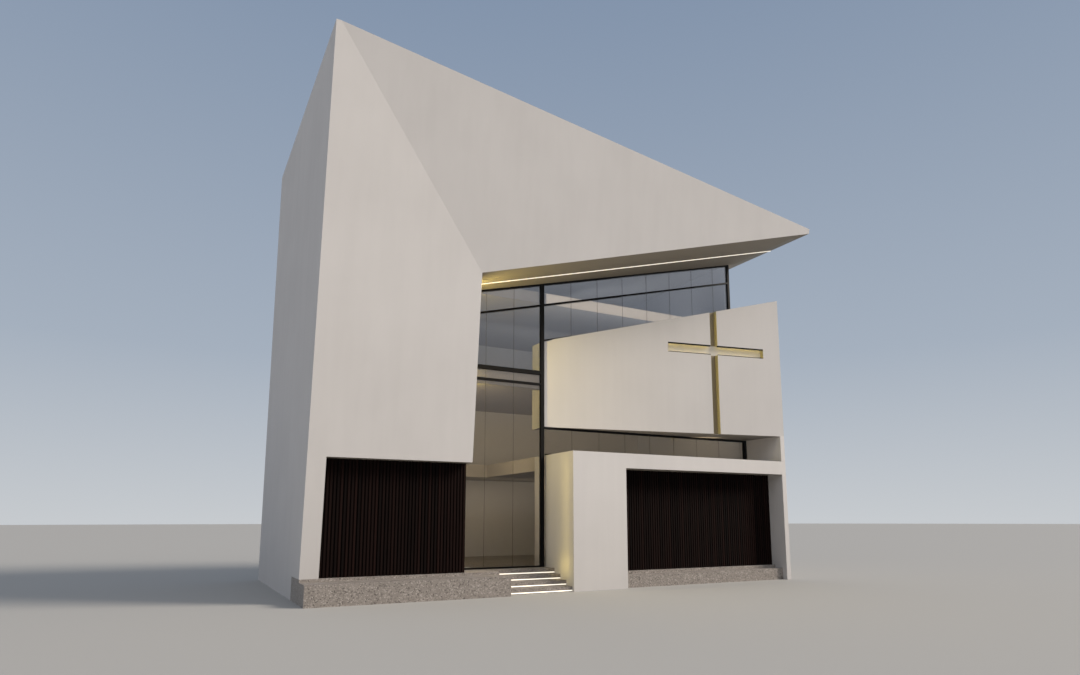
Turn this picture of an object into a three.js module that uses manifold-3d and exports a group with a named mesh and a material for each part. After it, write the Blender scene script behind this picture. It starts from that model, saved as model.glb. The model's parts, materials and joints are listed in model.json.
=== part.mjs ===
// A modern church building: a tall leaning front wall and a folded triangular
// facade over a recessed glass front, with a cross cut through a slanted panel.
// Millimetres, +Z up. The building is drawn with x from the left wall's outer
// face, y from the front of the portal towards the back and z from the ground,
// and is then centred on its own footprint. The front looks along -Y.

import * as THREE from "three";
import { mergeVertices } from "three/addons/utils/BufferGeometryUtils.js";
import Module from "manifold-3d";

const wasm = await Module();
wasm.setup();

// Overall size
const WIDTH = 17460; // left wall to boundary wall, over the outer faces
const BACK = 9460; // outer face of the rear wall
const APEX_HEIGHT = 15950; // top of the left wall and of the apex
const SEAT_GAP = 0.3; // clearance where two sloping faces meet
const WALL = 250; // left, rear and portal walls
const SLIM_WALL = 200; // boundary, setback and return walls

// Leaning front wall and its opening
const FOOT_Y = 610; // where the leaning face would meet the ground
const LEAN = 0.0963; // metres forward for each metre up, 5.5 degrees
const SHELL_DEPTH = 500; // front wall and upper facade, measured along y
const FRONT_WALL_RIGHT = 4730;
const PIER_WIDTH = 500; // strip of the front wall left of the opening
const LINTEL = 3890; // underside of the front wall and of the portal beam
const CREASE_TOP_X = 140; // the crease starts just right of the apex
const CREASE_FOOT_Z = 9610; // and ends at the front wall's right edge

// Sloping soffit, upper facade tip and roof
const SOFFIT_SLOPE = 0.2575; // rise of the soffit to the right
const TIP_FRONT = -1766; // foremost point of the building
const TIP_TOP = 13060; // roof height at the right edge
const EAVE = 450; // width of the solid wedge along the right edge
const ROOF_DEPTH = 200;
const CEILING_DEPTH = 150;

// Floor, landing, podium and steps
const FLOOR = 650; // also the landing under the front wall
const LANDING_FRONT = 540;
const PODIUM_FRONT = -290;
const PODIUM_RIGHT = 5780;
const PODIUM_TOP = 570;
const STEP_COUNT = 4;
const FIRST_RISER = 100;
const TREAD = 380;

// Portal around the right-hand screen
const PORTAL_LEFT = 8070;
const PORTAL_PIER_RIGHT = 10100;
const PORTAL_TOP = 4380;
const PORTAL_DEPTH = 760; // beam depth, up to the back of the screen
const PORTAL_RUN_IN = 2660; // the side wall runs on behind the glass
const MEZZANINE_FRONT = 6800; // of its left wing, at the rear of the hall

// Slatted screens and what carries them
const SLAT_PITCH = 98;
const SLAT_WIDTH = 56;
const SLAT_DEPTH = 40;
const SCREEN_BOARD = 20;
const LEFT_SCREEN_FRONT = 700;
const SCREEN_WALL_TOP = 4100;
const LEDGE_TOP = 510;
const LEDGE_FRONT = 560;
const PLINTH_TOP = 410;
const PLINTH_FRONT = 200;

// Glass front
const FRAME_FRONT = 1790;
const FRAME_DEPTH = 120;
const FRAME_BACK = FRAME_FRONT + FRAME_DEPTH;
const GLASS_THICKNESS = 24;
const GLASS_FRONT = FRAME_FRONT + (FRAME_DEPTH - GLASS_THICKNESS) / 2;
const GLASS_BACK = GLASS_FRONT + GLASS_THICKNESS;
const MAIN_MULLION = [7860, 7990];
const EDGE_MULLION = 60;
const HEAD_RAIL = 60;
const SILL_RAIL = 50;
const UPPER_TRANSOM_DROP = 780; // below the soffit
const UPPER_TRANSOM = 60;
const GALLERY_TRANSOM_TOP = [7155, 7285];
const GALLERY_TRANSOM_LOW = [6785, 6855];
const SETBACK_RIGHT = 16700; // upper glass and upper right wall end here
const RIGHT_MULLION = 100;
const LOW_MULLION = 120;
const LOW_HEAD = 70;
const LOW_SILL = 50;

// Floors inside, with an edge beam behind the glass
const GALLERY_TOP = 7200;
const GALLERY_UNDERSIDE = 6950;
const GALLERY_BEAM_UNDERSIDE = 6665;
const UPPER_TOP = 10150;
const UPPER_UNDERSIDE = 9950;
const UPPER_BEAM_UNDERSIDE = 9750;
const EDGE_BEAM_DEPTH = 250;

// Slanted panel with the cross
const PANEL_LEFT = MAIN_MULLION[1]; // the panel starts against the main mullion
const PANEL_UNDERSIDE = 5350;
const PANEL_TOP_LEFT = 8400; // over the portal's left side
const PANEL_TOP_RIGHT = 10740;
const PANEL_DEPTH = 250;
const PANEL_CLOSER = 150; // soffit and cap between the panel and the glass
const PANEL_CLOSER_LEFT = 9100;
const PANEL_RUN_IN = 2700;
const CROSS_UPRIGHT = [14475, 14765];
const CROSS_ARM = [12730, 16725];
const CROSS_ARM_HEIGHT = [8355, 8725];
const CROSS_RECESS = 150;

// Light line on the soffit
const LIGHT_LEFT = 4750;
const LIGHT_RIGHT = 17440;
const LIGHT_Y_LEFT = 1000;
const LIGHT_RUN = -0.06605;
const LIGHT_WIDTH = 40;
const LIGHT_HEIGHT = 20;

const material = (color, roughness, metalness = 0) =>
  new THREE.MeshStandardMaterial({ color, roughness, metalness });
const plaster = material(0xc4bfb7, 0.85);
const shadedPlaster = material(0xa8a29b, 0.85);
const roofing = material(0x8f8c88, 0.8);
const stone = material(0x8e8781, 0.7);
const floorStone = material(0x857b6f, 0.6);
const slats = material(0x2a1d19, 0.6);
const darkBoard = material(0x1e1614, 0.7);
const frameMetal = material(0x17140f, 0.45, 0.6);
const innerPlaster = material(0x8b8379, 0.9);
const warmLight = material(0xf5e9d8, 0.4);
const glass = material(0x5f6f83, 0.1);
glass.transparent = true;
glass.opacity = 0.6;

// Faces of the building that are not square to the axes, as y or z over x and z
const flat = (value) => () => value;
const soffitAt = (x) => CREASE_FOOT_Z + SOFFIT_SLOPE * (x - FRONT_WALL_RIGHT);
const roofSlope = (APEX_HEIGHT - TIP_TOP) / (WIDTH - CREASE_TOP_X);
const roofAt = (x) => APEX_HEIGHT - roofSlope * (x - CREASE_TOP_X);
const frontWallFace = (x, z) => FOOT_Y - LEAN * z;
const frontWallBack = (x, z) => frontWallFace(x, z) + SHELL_DEPTH + SEAT_GAP;

function planeThrough(...corners) {
  const plane = new THREE.Plane().setFromCoplanarPoints(
    ...corners.map((corner) => new THREE.Vector3(...corner)));
  const { x: nx, y: ny, z: nz } = plane.normal;
  return (x, z) => -(nx * x + nz * z + plane.constant) / ny;
}
const facadeFace = planeThrough(
  [CREASE_TOP_X, frontWallFace(0, APEX_HEIGHT), APEX_HEIGHT],
  [FRONT_WALL_RIGHT, frontWallFace(0, CREASE_FOOT_Z), CREASE_FOOT_Z],
  [WIDTH, TIP_FRONT, TIP_TOP]);
const facadeBack = (x, z) => facadeFace(x, z) + SHELL_DEPTH + SEAT_GAP;

const panelSlope = (PANEL_TOP_RIGHT - PANEL_TOP_LEFT) / (WIDTH - PORTAL_LEFT);
const panelTopAt = (x) => PANEL_TOP_LEFT + panelSlope * (x - PORTAL_LEFT);
const panelFace = (x) => GLASS_FRONT * (WIDTH - x) / (WIDTH - PORTAL_LEFT);
const panelBack = (x) => panelFace(x) + PANEL_DEPTH + SEAT_GAP;

const building = new THREE.Group();
building.position.set(-WIDTH / 2, -(TIP_FRONT + BACK) / 2, 0);

function add(name, geometry, finish, position = [0, 0, 0]) {
  const mesh = new THREE.Mesh(geometry, finish);
  mesh.name = name;
  mesh.position.set(...position);
  building.add(mesh);
}

// A box between two values on each axis
function box(name, finish, [x0, x1], [y0, y1], [z0, z1]) {
  const geometry = new THREE.BoxGeometry(x1 - x0, y1 - y0, z1 - z0);
  add(name, geometry, finish, [(x0 + x1) / 2, (y0 + y1) / 2, (z0 + z1) / 2]);
}

function extrusion(outline, depth) {
  const shape = new THREE.Shape(outline.map(([u, v]) => new THREE.Vector2(u, v)));
  return new THREE.ExtrudeGeometry(shape, { depth, bevelEnabled: false });
}

function mapPoints(geometry, place) {
  const points = geometry.attributes.position;
  for (let i = 0; i < points.count; i += 1) {
    points.setXYZ(i, ...place(points.getX(i), points.getY(i), points.getZ(i)));
  }
  geometry.computeVertexNormals();
  return geometry;
}

// An elevation outline in x and z, given depth between a front and a back face
function elevationPrism(outline, front, back) {
  return mapPoints(extrusion(outline, 1), (x, z, t) =>
    [x, back(x, z) + (front(x, z) - back(x, z)) * t, z]);
}

// A section outline in y and z, extruded to the right over a length
function sectionPrism(outline, length) {
  return mapPoints(extrusion(outline, length), (y, z, along) => [along, y, z]);
}

// A bar or pane whose lower and upper edges follow two lines over x
function slopingBand([x0, x1], lower, upper, front, back) {
  const outline = [[x0, lower(x0)], [x1, lower(x1)], [x1, upper(x1)], [x0, upper(x0)]];
  return elevationPrism(outline, flat(front), flat(back));
}

function toManifold(geometry) {
  const bare = geometry.clone();
  bare.deleteAttribute("normal");
  bare.deleteAttribute("uv");
  const merged = mergeVertices(bare, 1e-3);
  return new wasm.Manifold(new wasm.Mesh({
    numProp: 3,
    vertProperties: new Float32Array(merged.attributes.position.array),
    triVerts: new Uint32Array(merged.index.array),
  }));
}

function fromManifold(solid) {
  const mesh = solid.getMesh();
  const geometry = new THREE.BufferGeometry();
  geometry.setAttribute("position", new THREE.BufferAttribute(mesh.vertProperties, 3));
  geometry.setIndex(new THREE.BufferAttribute(mesh.triVerts, 1));
  geometry.computeVertexNormals();
  return geometry;
}

function makeShell() {
  const leftWallSection = [
    [FRAME_FRONT, 0], [BACK, 0], [BACK, APEX_HEIGHT],
    [frontWallBack(0, APEX_HEIGHT), APEX_HEIGHT],
    [frontWallBack(0, FLOOR), FLOOR], [FRAME_FRONT, FLOOR],
  ];
  add("left_wall", sectionPrism(leftWallSection, WALL), shadedPlaster);

  const frontWallOutline = [
    [0, LINTEL], [FRONT_WALL_RIGHT, LINTEL], [FRONT_WALL_RIGHT, CREASE_FOOT_Z],
    [CREASE_TOP_X, APEX_HEIGHT], [0, APEX_HEIGHT],
  ];
  const shellBack = (x, z) => frontWallFace(x, z) + SHELL_DEPTH;
  add("front_wall", elevationPrism(frontWallOutline, frontWallFace, shellBack), plaster);
  const pierOutline = [[0, FLOOR], [PIER_WIDTH, FLOOR], [PIER_WIDTH, LINTEL], [0, LINTEL]];
  add("left_pier", elevationPrism(pierOutline, frontWallFace, shellBack), plaster);

  const creaseGap = 0.4;
  const facadeOutline = [
    [CREASE_TOP_X + creaseGap, APEX_HEIGHT], [FRONT_WALL_RIGHT + creaseGap, CREASE_FOOT_Z],
    [WIDTH, soffitAt(WIDTH)], [WIDTH, TIP_TOP],
  ];
  add("upper_facade", elevationPrism(facadeOutline, facadeFace,
    (x, z) => facadeFace(x, z) + SHELL_DEPTH), plaster);

  const eaveLeft = WIDTH - EAVE;
  const roofUnder = (x) => roofAt(x) - ROOF_DEPTH;
  const roofOutline = [
    [WALL, roofUnder(WALL)], [eaveLeft, roofUnder(eaveLeft)], [eaveLeft, soffitAt(eaveLeft)],
    [WIDTH, soffitAt(WIDTH)], [WIDTH, TIP_TOP], [WALL, roofAt(WALL)],
  ];
  add("roof_slab", elevationPrism(roofOutline, facadeBack, flat(BACK)), roofing);

  const ceilingOutline = [
    [WALL, soffitAt(WALL)], [eaveLeft, soffitAt(eaveLeft)],
    [eaveLeft, soffitAt(eaveLeft) + CEILING_DEPTH], [WALL, soffitAt(WALL) + CEILING_DEPTH],
  ];
  const rearInner = BACK - WALL;
  add("soffit", elevationPrism(ceilingOutline, facadeBack, flat(FRAME_FRONT)), shadedPlaster);
  add("ceiling", elevationPrism(ceilingOutline, flat(FRAME_FRONT), flat(rearInner)), innerPlaster);

  const boundaryInner = WIDTH - SLIM_WALL;
  const rearOutline = [
    [WALL, 0], [boundaryInner, 0], [boundaryInner, PANEL_TOP_RIGHT],
    [SETBACK_RIGHT, PANEL_TOP_RIGHT], [SETBACK_RIGHT, soffitAt(SETBACK_RIGHT)],
    [eaveLeft, soffitAt(eaveLeft)], [eaveLeft, roofUnder(eaveLeft) - SEAT_GAP],
    [WALL, roofUnder(WALL) - SEAT_GAP],
  ];
  add("rear_wall", elevationPrism(rearOutline, flat(rearInner), flat(BACK)), shadedPlaster);

  const boundarySection = [
    [0, 0], [BACK, 0], [BACK, PANEL_TOP_RIGHT], [panelBack(boundaryInner), PANEL_TOP_RIGHT],
    [panelBack(boundaryInner), PANEL_UNDERSIDE], [0, PANEL_UNDERSIDE], [0, PORTAL_TOP],
    [PORTAL_DEPTH, PORTAL_TOP], [PORTAL_DEPTH, LINTEL], [0, LINTEL],
  ];
  add("boundary_wall", sectionPrism(boundarySection, SLIM_WALL), shadedPlaster,
    [boundaryInner, 0, 0]);

  const setbackInner = SETBACK_RIGHT - SLIM_WALL;
  const ledgeUnder = PANEL_TOP_RIGHT - SLIM_WALL;
  const setbackOutline = [
    [setbackInner, ledgeUnder], [boundaryInner, ledgeUnder], [boundaryInner, PANEL_TOP_RIGHT],
    [SETBACK_RIGHT, PANEL_TOP_RIGHT], [SETBACK_RIGHT, soffitAt(SETBACK_RIGHT) - SEAT_GAP],
    [setbackInner, soffitAt(setbackInner) - SEAT_GAP],
  ];
  add("setback_wall", elevationPrism(setbackOutline, flat(FRAME_BACK), flat(rearInner)),
    shadedPlaster);

  const returnSpan = [FRONT_WALL_RIGHT - SLIM_WALL, FRONT_WALL_RIGHT];
  box("return_wall_lower", shadedPlaster, returnSpan, [PORTAL_DEPTH, FRAME_FRONT],
    [FLOOR, LINTEL]);
  const returnOutline = [
    [returnSpan[0], LINTEL], [returnSpan[1], LINTEL],
    [returnSpan[1], soffitAt(returnSpan[1]) - SEAT_GAP],
    [returnSpan[0], soffitAt(returnSpan[0]) - SEAT_GAP],
  ];
  add("return_wall_upper", elevationPrism(returnOutline, frontWallBack, flat(FRAME_FRONT)),
    shadedPlaster);
}

// The mezzanine keeps the portal's height, and turns to the left at the rear of the hall
function makeMezzanine() {
  const rear = BACK - WALL;
  const boundaryInner = WIDTH - SLIM_WALL;
  const runInRight = PORTAL_LEFT + WALL;
  box("mezzanine_left", innerPlaster, [WALL, PORTAL_LEFT], [MEZZANINE_FRONT, rear],
    [LINTEL, PORTAL_TOP]);
  const plan = [
    [PORTAL_LEFT, PORTAL_RUN_IN], [runInRight, PORTAL_RUN_IN], [runInRight, FRAME_BACK],
    [boundaryInner, FRAME_BACK], [boundaryInner, rear], [PORTAL_LEFT, rear],
  ];
  add("mezzanine_right", extrusion(plan, PORTAL_TOP - LINTEL), innerPlaster,
    [0, 0, LINTEL]);
}

function makeFloors() {
  box("floor_slab", floorStone, [WALL, WIDTH - SLIM_WALL], [FRAME_FRONT, BACK - WALL],
    [0, FLOOR]);
  box("podium", stone, [0, PODIUM_RIGHT], [PODIUM_FRONT, LANDING_FRONT], [0, PODIUM_TOP]);
  box("landing", stone, [0, PODIUM_RIGHT], [LANDING_FRONT, FRAME_FRONT], [0, FLOOR]);
  const rise = FLOOR / STEP_COUNT;
  for (let i = 0; i < STEP_COUNT; i += 1) {
    box(`step_${i + 1}`, stone, [PODIUM_RIGHT, PORTAL_LEFT],
      [FIRST_RISER + i * TREAD, FRAME_FRONT], [i * rise, (i + 1) * rise]);
  }
  box("gallery_slab", innerPlaster, [WALL, PANEL_LEFT], [FRAME_BACK, BACK - WALL],
    [GALLERY_UNDERSIDE, GALLERY_TOP]);
  box("gallery_beam", innerPlaster, [WALL, PANEL_LEFT],
    [FRAME_BACK, FRAME_BACK + EDGE_BEAM_DEPTH], [GALLERY_BEAM_UNDERSIDE, GALLERY_UNDERSIDE]);

  // To the right the gallery goes round the panel's run-in and up to the panel's back
  const boundaryInner = WIDTH - SLIM_WALL;
  const runInRight = PANEL_LEFT + SLIM_WALL;
  const galleryPlan = [
    [PANEL_LEFT, PANEL_RUN_IN], [runInRight, PANEL_RUN_IN], [runInRight, panelBack(runInRight)],
    [boundaryInner, panelBack(boundaryInner)], [boundaryInner, BACK - WALL],
    [PANEL_LEFT, BACK - WALL],
  ];
  add("gallery_slab_right", extrusion(galleryPlan, GALLERY_TOP - GALLERY_UNDERSIDE), innerPlaster,
    [0, 0, GALLERY_UNDERSIDE]);

  // The upper floor and its beam run from the sloping ceiling to the boundary wall
  const ceilingMeets = (z) => FRONT_WALL_RIGHT + (z + SEAT_GAP - CREASE_FOOT_Z) / SOFFIT_SLOPE;
  const upperOutline = (under, top) => [
    [ceilingMeets(under), under], [boundaryInner, under], [boundaryInner, top],
    [ceilingMeets(top), top],
  ];
  add("upper_slab", elevationPrism(upperOutline(UPPER_UNDERSIDE, UPPER_TOP), flat(FRAME_BACK),
    flat(BACK - WALL)), innerPlaster);
  add("upper_beam", elevationPrism(upperOutline(UPPER_BEAM_UNDERSIDE, UPPER_UNDERSIDE),
    flat(FRAME_BACK), flat(FRAME_BACK + EDGE_BEAM_DEPTH)), innerPlaster);
}

// Upright slats standing on a backing board, as one comb-shaped plan
function screen(name, [x0, x1], front, [z0, z1]) {
  const slatCount = Math.floor((x1 - x0) / SLAT_PITCH);
  const margin = (x1 - x0 - slatCount * SLAT_PITCH) / 2;
  const boardFront = front + SLAT_DEPTH;
  const plan = [[x1, boardFront + SCREEN_BOARD], [x0, boardFront + SCREEN_BOARD], [x0, boardFront]];
  for (let i = 0; i < slatCount; i += 1) {
    const left = x0 + margin + i * SLAT_PITCH + (SLAT_PITCH - SLAT_WIDTH) / 2;
    const right = left + SLAT_WIDTH;
    plan.push([left, boardFront], [left, front], [right, front], [right, boardFront]);
  }
  plan.push([x1, boardFront]);
  add(name, extrusion(plan, z1 - z0), slats, [0, 0, z0]);
}

function makeScreens() {
  screen("left_screen", [PIER_WIDTH, FRONT_WALL_RIGHT], LEFT_SCREEN_FRONT, [FLOOR, LINTEL]);
  box("left_screen_wall", darkBoard, [PIER_WIDTH, FRONT_WALL_RIGHT - SLIM_WALL],
    [PORTAL_DEPTH, PORTAL_DEPTH + SLIM_WALL], [FLOOR, SCREEN_WALL_TOP]);

  const inner = WIDTH - SLIM_WALL;
  screen("right_screen", [PORTAL_PIER_RIGHT, inner], PORTAL_DEPTH - SLAT_DEPTH - SCREEN_BOARD,
    [LEDGE_TOP, LINTEL]);
  box("right_screen_wall", darkBoard, [PORTAL_PIER_RIGHT - WALL, inner],
    [PORTAL_DEPTH, PORTAL_DEPTH + SLIM_WALL], [0, PORTAL_TOP - SLIM_WALL]);
  const plinthSection = [
    [PLINTH_FRONT, 0], [PORTAL_DEPTH, 0], [PORTAL_DEPTH, LEDGE_TOP], [LEDGE_FRONT, LEDGE_TOP],
    [LEDGE_FRONT, PLINTH_TOP], [PLINTH_FRONT, PLINTH_TOP],
  ];
  add("right_plinth", sectionPrism(plinthSection, inner - PORTAL_PIER_RIGHT), stone,
    [PORTAL_PIER_RIGHT, 0, 0]);
}

function makePortal() {
  box("portal_front_wall", plaster, [PORTAL_LEFT, PORTAL_PIER_RIGHT], [0, WALL], [0, LINTEL]);
  const sideSection = [
    [WALL, 0], [FRAME_FRONT, 0], [FRAME_FRONT, FLOOR], [PORTAL_RUN_IN, FLOOR],
    [PORTAL_RUN_IN, PORTAL_TOP], [PORTAL_DEPTH, PORTAL_TOP], [PORTAL_DEPTH, LINTEL],
    [WALL, LINTEL],
  ];
  add("portal_side_wall", sectionPrism(sideSection, WALL), plaster, [PORTAL_LEFT, 0, 0]);
  box("portal_return_wall", plaster, [PORTAL_PIER_RIGHT - WALL, PORTAL_PIER_RIGHT],
    [WALL, PORTAL_DEPTH], [0, LINTEL]);
  box("portal_beam", plaster, [PORTAL_LEFT, WIDTH], [0, PORTAL_DEPTH], [LINTEL, PORTAL_TOP]);
  box("portal_roof", plaster, [PORTAL_LEFT + WALL, WIDTH - SLIM_WALL],
    [PORTAL_DEPTH, FRAME_BACK], [PORTAL_TOP - SLIM_WALL, PORTAL_TOP]);
}

function makeCrossPanel() {
  const endTop = panelTopAt(PANEL_LEFT);
  const outline = [
    [PANEL_LEFT, PANEL_UNDERSIDE], [WIDTH, PANEL_UNDERSIDE], [WIDTH, PANEL_TOP_RIGHT],
    [PANEL_LEFT, endTop],
  ];
  const recess = ([x0, x1], [z0, z1]) => toManifold(elevationPrism(
    [[x0, z0], [x1, z0], [x1, z1], [x0, z1]],
    (x) => panelFace(x) - CROSS_RECESS, (x) => panelFace(x) + CROSS_RECESS));
  const overshoot = 100;
  const upright = recess(CROSS_UPRIGHT,
    [PANEL_UNDERSIDE - overshoot, PANEL_TOP_RIGHT + overshoot]);
  const arm = recess(CROSS_ARM, CROSS_ARM_HEIGHT);
  const slab = toManifold(elevationPrism(outline, panelFace, (x) => panelFace(x) + PANEL_DEPTH));
  add("cross_panel", fromManifold(slab.subtract(upright).subtract(arm)), plaster);

  const returnRight = PANEL_LEFT + SLIM_WALL;
  const returnOutline = [
    [PANEL_LEFT, PANEL_UNDERSIDE], [returnRight, PANEL_UNDERSIDE],
    [returnRight, endTop], [PANEL_LEFT, endTop],
  ];
  add("cross_panel_return", elevationPrism(returnOutline, panelBack, flat(PANEL_RUN_IN)),
    plaster);

  const closerSpan = [PANEL_CLOSER_LEFT, WIDTH - SLIM_WALL];
  const closer = (lower, upper) => elevationPrism([
    [closerSpan[0], lower(closerSpan[0])], [closerSpan[1], lower(closerSpan[1])],
    [closerSpan[1], upper(closerSpan[1])], [closerSpan[0], upper(closerSpan[0])],
  ], panelBack, flat(FRAME_BACK));
  add("cross_panel_soffit", closer(flat(PANEL_UNDERSIDE), flat(PANEL_UNDERSIDE + PANEL_CLOSER)),
    shadedPlaster);
  add("cross_panel_cap", closer((x) => panelTopAt(x) - PANEL_CLOSER, panelTopAt), shadedPlaster);
}

// Lines that the bars and panes of the glass front share
const headUnder = (x) => soffitAt(x) - SEAT_GAP - HEAD_RAIL;
const belowHead = (x) => headUnder(x) - SEAT_GAP;
const transomAt = (offset) => (x) => soffitAt(x) - UPPER_TRANSOM_DROP + offset;
const transomTop = transomAt(UPPER_TRANSOM / 2);
const transomUnder = transomAt(-UPPER_TRANSOM / 2);
const aboveTransom = (x) => transomTop(x) + SEAT_GAP;
const belowTransom = (x) => transomUnder(x) - SEAT_GAP;
const abovePanel = (x) => panelTopAt(x) + SEAT_GAP;
const leftBay = [FRONT_WALL_RIGHT + EDGE_MULLION, MAIN_MULLION[0]];
const rightBay = [MAIN_MULLION[1], SETBACK_RIGHT - RIGHT_MULLION];
const lowMullionLeft = WIDTH - SLIM_WALL - LOW_MULLION;
const headLow = PANEL_UNDERSIDE - LOW_HEAD;
const sillLow = PORTAL_TOP + LOW_SILL;

function makeGlassFrames() {
  const bar = (name, span, lower, upper) =>
    add(name, slopingBand(span, lower, upper, FRAME_FRONT, FRAME_BACK), frameMetal);
  bar("head_rail", [FRONT_WALL_RIGHT, SETBACK_RIGHT], headUnder, (x) => soffitAt(x) - SEAT_GAP);
  bar("left_mullion", [FRONT_WALL_RIGHT, leftBay[0]], flat(FLOOR), belowHead);
  bar("main_mullion", MAIN_MULLION, flat(FLOOR), belowHead);
  bar("right_mullion", [rightBay[1], SETBACK_RIGHT], abovePanel, belowHead);
  bar("upper_transom_left", leftBay, transomUnder, transomTop);
  bar("upper_transom_right", rightBay, transomUnder, transomTop);
  bar("gallery_transom_top", leftBay, ...GALLERY_TRANSOM_TOP.map(flat));
  bar("gallery_transom_low", leftBay, ...GALLERY_TRANSOM_LOW.map(flat));
  bar("sill_rail", leftBay, flat(FLOOR), flat(FLOOR + SILL_RAIL));

  const inner = WIDTH - SLIM_WALL;
  const lowFrameOutline = [
    [PANEL_LEFT, headLow], [lowMullionLeft, headLow], [lowMullionLeft, sillLow],
    [PORTAL_LEFT, sillLow], [PORTAL_LEFT, PORTAL_TOP],
    [inner, PORTAL_TOP], [inner, PANEL_UNDERSIDE], [PANEL_LEFT, PANEL_UNDERSIDE],
  ];
  add("low_window_frame", elevationPrism(lowFrameOutline, flat(FRAME_FRONT), flat(FRAME_BACK)),
    frameMetal);
}

function makeGlassPanes() {
  const pane = (name, span, lower, upper) =>
    add(name, slopingBand(span, lower, upper, GLASS_FRONT, GLASS_BACK), glass);
  pane("glass_left_low", leftBay, flat(FLOOR + SILL_RAIL), flat(GALLERY_TRANSOM_LOW[0]));
  pane("glass_left_gallery", leftBay, flat(GALLERY_TRANSOM_LOW[1]), flat(GALLERY_TRANSOM_TOP[0]));
  pane("glass_left_middle", leftBay, flat(GALLERY_TRANSOM_TOP[1]), belowTransom);
  pane("glass_left_top", leftBay, aboveTransom, belowHead);
  pane("glass_right_top", rightBay, aboveTransom, belowHead);
  pane("glass_side_strip", [MAIN_MULLION[1], PORTAL_LEFT], flat(FLOOR), flat(headLow));
  pane("glass_low_strip", [PORTAL_LEFT, lowMullionLeft], flat(sillLow), flat(headLow));
  pane("glass_right_middle", rightBay, abovePanel, belowTransom);
}

// The light line runs along the soffit a little out of line with the glass
function makeSoffitLight() {
  const seat = (x) => soffitAt(x) - SEAT_GAP;
  const outline = [
    [LIGHT_LEFT, seat(LIGHT_LEFT) - LIGHT_HEIGHT], [LIGHT_RIGHT, seat(LIGHT_RIGHT) - LIGHT_HEIGHT],
    [LIGHT_RIGHT, seat(LIGHT_RIGHT)], [LIGHT_LEFT, seat(LIGHT_LEFT)],
  ];
  const front = (x) => LIGHT_Y_LEFT + LIGHT_RUN * (x - LIGHT_LEFT);
  add("soffit_light", elevationPrism(outline, front, (x) => front(x) + LIGHT_WIDTH), warmLight);
}

makeShell();
makeFloors();
makeMezzanine();
makeScreens();
makePortal();
makeCrossPanel();
makeGlassFrames();
makeGlassPanes();
makeSoffitLight();

export default building;
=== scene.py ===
"""Looks of the modern church building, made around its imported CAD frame.

Places are in metres in the CAD frame: +X to the right along the front, +Y to
the rear and +Z up, with the origin in the middle of the footprint.
"""

import json
import math

import bmesh
import bpy
from bpy.props import FloatProperty, FloatVectorProperty, PointerProperty
from mathutils import Matrix, Vector


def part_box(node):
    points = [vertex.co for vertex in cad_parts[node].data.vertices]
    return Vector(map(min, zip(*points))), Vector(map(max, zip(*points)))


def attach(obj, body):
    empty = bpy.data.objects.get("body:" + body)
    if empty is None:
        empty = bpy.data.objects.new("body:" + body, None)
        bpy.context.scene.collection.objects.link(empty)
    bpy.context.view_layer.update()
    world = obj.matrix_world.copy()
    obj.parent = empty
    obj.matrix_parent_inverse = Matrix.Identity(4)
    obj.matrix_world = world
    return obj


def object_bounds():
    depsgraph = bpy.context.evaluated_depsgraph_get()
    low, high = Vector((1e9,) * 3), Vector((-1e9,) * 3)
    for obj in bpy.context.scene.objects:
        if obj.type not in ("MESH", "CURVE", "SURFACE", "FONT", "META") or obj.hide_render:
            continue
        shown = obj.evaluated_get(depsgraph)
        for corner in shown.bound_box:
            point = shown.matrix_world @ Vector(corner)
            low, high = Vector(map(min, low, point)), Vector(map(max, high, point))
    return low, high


bl_info = {
    "name": "Modern church building",
    "version": (1, 0, 0),
    "blender": (4, 5, 0),
    "location": "View3D > Sidebar > Church",
    "description": "Finishes, light lines, joints and trims of a modern church building",
    "category": "Object",
}

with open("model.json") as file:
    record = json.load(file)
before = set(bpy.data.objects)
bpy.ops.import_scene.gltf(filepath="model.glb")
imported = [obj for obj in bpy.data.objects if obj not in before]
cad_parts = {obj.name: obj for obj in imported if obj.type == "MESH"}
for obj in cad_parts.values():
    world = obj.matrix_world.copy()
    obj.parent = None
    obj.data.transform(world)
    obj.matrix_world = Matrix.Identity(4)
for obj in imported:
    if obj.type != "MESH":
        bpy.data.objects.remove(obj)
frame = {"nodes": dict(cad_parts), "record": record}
CAD_LOW, CAD_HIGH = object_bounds()
BODY = "root"
# The glass mirrors the open backdrop, and neither the floor nor these slots
UNMIRRORED = ("render", "roofing")
# Front of the portal. The leaning wall and the roof's tip stand before it
BUILDING_LINE = CAD_LOW.y + 1.766
# The cross is a recess in the slanted panel: its upright and its arm
PANEL_DEPTH, CROSS_RECESS = 0.25, 0.15
CROSS_UPRIGHT = (CAD_LOW.x + 14.475, CAD_LOW.x + 14.765)
CROSS_ARM = (CAD_LOW.x + 12.73, CAD_LOW.x + 16.725)
CROSS_ARM_HEIGHT = (8.355, 8.725)
BATTEN_PITCH = 0.098


def linear(hex_colour):
    """An sRGB hex colour as linear red, green and blue."""
    channels = [int(hex_colour[i:i + 2], 16) / 255 for i in (1, 3, 5)]
    return tuple(c / 12.92 if c <= 0.04045 else ((c + 0.055) / 1.055) ** 2.4 for c in channels)


def rgba(colour):
    """A colour from a property or a tuple, with full alpha."""
    return (colour[0], colour[1], colour[2], 1.0)


def colour_property(name, description, hex_colour):
    """A colour that a user can change, with its default given as sRGB hex."""
    return FloatVectorProperty(
        name=name, description=description, subtype="COLOR", size=3, min=0.0, max=1.0,
        default=linear(hex_colour))


def length_property(name, description, metres):
    """A length in metres that a user can change."""
    return FloatProperty(
        name=name, description=description, unit="LENGTH", min=0.0, default=metres, precision=4)


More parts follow.
